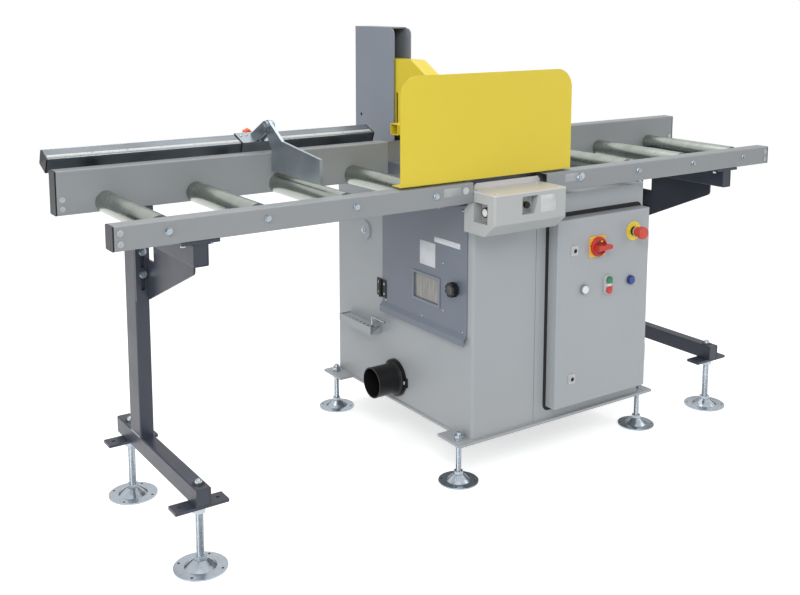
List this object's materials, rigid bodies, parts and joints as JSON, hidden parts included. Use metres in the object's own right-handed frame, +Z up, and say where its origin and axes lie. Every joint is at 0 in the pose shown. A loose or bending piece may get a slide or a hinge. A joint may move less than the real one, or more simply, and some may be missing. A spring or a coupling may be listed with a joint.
{
  "type": "upcut crosscut saw",
  "caption": "Under-table crosscut saw: floor cabinet with a pneumatic rising blade, lifting guard, switch box and levelling feet, between roller tables with a measuring rail and flip stop.",
  "frame": {"origin": "on the floor, at the middle of the length, in the plane of the saw blade, and at the middle of the depth", "axes": "X along the roller tables, Y to the back, Z up"},
  "size_m": [2.372, 0.9439, 1.349],
  "materials": {
    "arbor": "turned steel",
    "axles_and_bolts": "bright zinc",
    "back_rails": "light grey powder coat",
    "base_plate": "light grey powder coat",
    "black_fittings": "black",
    "blade_hood": "yellow powder coat",
    "button_blue": "blue",
    "button_green": "green",
    "button_red": "red",
    "button_white": "white",
    "cabinet_feet": "bright zinc",
    "cabinet_shell": "smooth light grey powder coat",
    "cam_lock_lower": "nickel",
    "cam_lock_upper": "nickel",
    "console_cover": "cream powder coat",
    "console_housing": "warm light grey powder coat",
    "door_fittings": "yellow and grey plastic",
    "door_knob": "black",
    "door_window": "clear pane, greyed",
    "drive_belt": "black",
    "dust_chute": "grey sheet metal",
    "dust_port": "black",
    "enclosure_box": "light grey powder coat",
    "enclosure_door": "light grey powder coat",
    "estop_button": "red",
    "front_rails": "light grey powder coat",
    "guard_column": "grey powder coat",
    "guard_panel": "yellow powder coat",
    "guide_block": "milled",
    "leg_brackets": "anthracite powder coat",
    "leg_fittings_left": "bright zinc",
    "leg_fittings_right": "bright zinc",
    "leg_left": "anthracite powder coat",
    "leg_right": "anthracite powder coat",
    "lift_unit": "anodised",
    "main_switch_handle": "red",
    "measuring_rail": "anodised",
    "motor": "blue grey paint",
    "motor_pulley": "turned",
    "palm_button_left": "black",
    "palm_button_right": "black",
    "regulator_knob": "black",
    "roller_1": "zinc plated",
    "roller_2": "zinc plated",
    "roller_3": "zinc plated",
    "roller_4": "zinc plated",
    "roller_5": "zinc plated",
    "roller_6": "zinc plated",
    "roller_7": "zinc plated",
    "roller_8": "zinc plated",
    "saw_blade": "ground steel",
    "saw_table": "ground steel",
    "service_door": "grey powder coat",
    "stop_carriage": "zinc plated sheet",
    "stop_knob": "orange",
    "stop_plate": "steel sheet",
    "stroke_cylinder": "anodised",
    "stroke_rod": "hard chrome",
    "swing_arm": "grey paint",
    "tool_holder": "light grey powder coat"
  },
  "bodies": {
    "machine": {"cabinet_shell": "cabinet_shell", "base_plate": "base_plate", "dust_chute": "dust_chute", "saw_table": "saw_table", "guard_column": "guard_column", "lift_unit": "lift_unit", "front_rails": "front_rails", "back_rails": "back_rails", "black_fittings": "black_fittings", "axles_and_bolts": "axles_and_bolts", "measuring_rail": "measuring_rail", "leg_brackets": "leg_brackets", "dust_port": "dust_port", "enclosure_box": "enclosure_box", "console_housing": "console_housing", "console_cover": "console_cover", "tool_holder": "tool_holder", "cabinet_feet": "cabinet_feet"},
    "roller_body_1": {"roller_1": "roller_1"},
    "roller_body_2": {"roller_2": "roller_2"},
    "roller_body_3": {"roller_3": "roller_3"},
    "roller_body_4": {"roller_4": "roller_4"},
    "roller_body_5": {"roller_5": "roller_5"},
    "roller_body_6": {"roller_6": "roller_6"},
    "roller_body_7": {"roller_7": "roller_7"},
    "roller_body_8": {"roller_8": "roller_8"},
    "left_leg": {"leg_left": "leg_left", "leg_fittings_left": "leg_fittings_left"},
    "right_leg": {"leg_right": "leg_right", "leg_fittings_right": "leg_fittings_right"},
    "saw_arm": {"swing_arm": "swing_arm", "motor": "motor", "drive_belt": "drive_belt"},
    "blade_set": {"saw_blade": "saw_blade", "arbor": "arbor"},
    "motor_shaft": {"motor_pulley": "motor_pulley"},
    "lift_barrel": {"stroke_cylinder": "stroke_cylinder"},
    "lift_rod": {"stroke_rod": "stroke_rod"},
    "guard": {"guard_panel": "guard_panel", "blade_hood": "blade_hood", "guide_block": "guide_block"},
    "side_door": {"service_door": "service_door", "door_window": "door_window"},
    "door_latch": {"door_knob": "door_knob"},
    "panel_door": {"enclosure_door": "enclosure_door", "door_fittings": "door_fittings"},
    "upper_lock": {"cam_lock_upper": "cam_lock_upper"},
    "lower_lock": {"cam_lock_lower": "cam_lock_lower"},
    "switch_handle": {"main_switch_handle": "main_switch_handle"},
    "stop_button": {"estop_button": "estop_button"},
    "white_button": {"button_white": "button_white"},
    "green_button": {"button_green": "button_green"},
    "red_button": {"button_red": "button_red"},
    "blue_button": {"button_blue": "button_blue"},
    "left_palm": {"palm_button_left": "palm_button_left"},
    "right_palm": {"palm_button_right": "palm_button_right"},
    "regulator": {"regulator_knob": "regulator_knob"},
    "length_stop": {"stop_carriage": "stop_carriage"},
    "stop_arm": {"stop_plate": "stop_plate"},
    "stop_clamp": {"stop_knob": "stop_knob"}
  },
  "joints": [
    {"name": "roller_spin_1", "type": "hinge", "parent": "machine", "child": "roller_body_1", "pos_m": [-1.051, -0.132, 0.9], "axis": [0, 1, 0], "continuous": true},
    {"name": "roller_spin_2", "type": "hinge", "parent": "machine", "child": "roller_body_2", "pos_m": [-0.791, -0.132, 0.9], "axis": [0, 1, 0], "continuous": true},
    {"name": "roller_spin_3", "type": "hinge", "parent": "machine", "child": "roller_body_3", "pos_m": [-0.531, -0.132, 0.9], "axis": [0, 1, 0], "continuous": true},
    {"name": "roller_spin_4", "type": "hinge", "parent": "machine", "child": "roller_body_4", "pos_m": [-0.271, -0.132, 0.9], "axis": [0, 1, 0], "continuous": true},
    {"name": "roller_spin_5", "type": "hinge", "parent": "machine", "child": "roller_body_5", "pos_m": [0.271, -0.132, 0.9], "axis": [0, 1, 0], "continuous": true},
    {"name": "roller_spin_6", "type": "hinge", "parent": "machine", "child": "roller_body_6", "pos_m": [0.531, -0.132, 0.9], "axis": [0, 1, 0], "continuous": true},
    {"name": "roller_spin_7", "type": "hinge", "parent": "machine", "child": "roller_body_7", "pos_m": [0.791, -0.132, 0.9], "axis": [0, 1, 0], "continuous": true},
    {"name": "roller_spin_8", "type": "hinge", "parent": "machine", "child": "roller_body_8", "pos_m": [1.051, -0.132, 0.9], "axis": [0, 1, 0], "continuous": true},
    {"name": "left_leg_height", "type": "slide", "parent": "machine", "child": "left_leg", "axis": [0, 0, -1], "range_m": [0, 0.04]},
    {"name": "right_leg_height", "type": "slide", "parent": "machine", "child": "right_leg", "axis": [0, 0, -1], "range_m": [0, 0.04]},
    {"name": "saw_arm_swing", "type": "hinge", "parent": "machine", "child": "saw_arm", "pos_m": [0.145, 0.256, 0.669], "axis": [-1, 0, 0], "range_deg": [0, 22]},
    {"name": "blade_spin", "type": "hinge", "parent": "saw_arm", "child": "blade_set", "pos_m": [0, -0.077, 0.74], "axis": [1, 0, 0], "continuous": true},
    {"name": "motor_shaft_spin", "type": "hinge", "parent": "saw_arm", "child": "motor_shaft", "pos_m": [0.092, 0.223, 0.48], "axis": [1, 0, 0], "continuous": true},
    {"name": "lift_barrel_tilt", "type": "hinge", "parent": "machine", "child": "lift_barrel", "pos_m": [0.0375, 0.068, 0.2], "axis": [-1, 0, 0], "range_deg": [0, 3.24]},
    {"name": "lift_rod_stroke", "type": "slide", "parent": "lift_barrel", "child": "lift_rod", "axis": [0, -0.0293, 0.9996], "range_m": [0, 0.07301]},
    {"name": "guard_lift", "type": "slide", "parent": "machine", "child": "guard", "axis": [0, 0, 1], "range_m": [0, 0.085]},
    {"name": "side_door_swing", "type": "hinge", "parent": "machine", "child": "side_door", "pos_m": [-0.109, 0.154, 0.629], "axis": [0, 0, -1], "range_deg": [0, 110]},
    {"name": "door_latch_turn", "type": "hinge", "parent": "side_door", "child": "door_latch", "pos_m": [-0.12, -0.254, 0.581], "axis": [1, 0, 0], "range_deg": [0, 90]},
    {"name": "panel_door_swing", "type": "hinge", "parent": "machine", "child": "panel_door", "pos_m": [0.599, -0.354, 0.472], "axis": [0, 0, 1], "range_deg": [0, 120]},
    {"name": "upper_lock_turn", "type": "hinge", "parent": "panel_door", "child": "upper_lock", "pos_m": [0.263, -0.372, 0.672], "axis": [0, -1, 0], "range_deg": [0, 90]},
    {"name": "lower_lock_turn", "type": "hinge", "parent": "panel_door", "child": "lower_lock", "pos_m": [0.263, -0.372, 0.259], "axis": [0, -1, 0], "range_deg": [0, 90]},
    {"name": "main_switch_turn", "type": "hinge", "parent": "panel_door", "child": "switch_handle", "pos_m": [0.36, -0.382, 0.674], "axis": [0, 1, 0], "range_deg": [0, 90]},
    {"name": "emergency_stop_press", "type": "slide", "parent": "panel_door", "child": "stop_button", "axis": [0, 1, 0], "range_m": [0, 0.005]},
    {"name": "white_button_press", "type": "slide", "parent": "panel_door", "child": "white_button", "axis": [0, 1, 0], "range_m": [0, 0.004], "stiffness_N_per_m": 300},
    {"name": "green_button_press", "type": "slide", "parent": "panel_door", "child": "green_button", "axis": [0, 1, 0], "range_m": [0, 0.004], "stiffness_N_per_m": 300},
    {"name": "red_button_press", "type": "slide", "parent": "panel_door", "child": "red_button", "axis": [0, 1, 0], "range_m": [0, 0.004], "stiffness_N_per_m": 300},
    {"name": "blue_button_press", "type": "slide", "parent": "panel_door", "child": "blue_button", "axis": [0, 1, 0], "range_m": [0, 0.004], "stiffness_N_per_m": 300},
    {"name": "left_palm_press", "type": "slide", "parent": "machine", "child": "left_palm", "axis": [1, 0, 0], "range_m": [0, 0.004], "stiffness_N_per_m": 300},
    {"name": "right_palm_press", "type": "slide", "parent": "machine", "child": "right_palm", "axis": [-1, 0, 0], "range_m": [0, 0.004], "stiffness_N_per_m": 300},
    {"name": "regulator_turn", "type": "hinge", "parent": "machine", "child": "regulator", "pos_m": [-0.014, -0.472, 0.862], "axis": [0, 1, 0], "range_deg": [0, 270]},
    {"name": "length_stop_slide", "type": "slide", "parent": "machine", "child": "length_stop", "axis": [1, 0, 0], "range_m": [-0.56, 0.36]},
    {"name": "stop_plate_flip", "type": "hinge", "parent": "length_stop", "child": "stop_arm", "pos_m": [-0.5525, 0.078, 1.068], "axis": [-1, 0, 0], "range_deg": [0, 110]},
    {"name": "stop_clamp_turn", "type": "hinge", "parent": "length_stop", "child": "stop_clamp", "pos_m": [-0.562, 0.18537, 1.02926], "axis": [0, 0.9272, 0.3746], "range_deg": [-180, 180]}
  ],
  "couplings": [
    {"joint": "motor_shaft_spin", "follows": "blade_spin", "ratio": 0.73077},
    {"joint": "lift_barrel_tilt", "follows": "saw_arm_swing", "ratio": 0.14701},
    {"joint": "lift_rod_stroke", "follows": "saw_arm_swing", "m_per_rad": 0.18988}
  ]
}
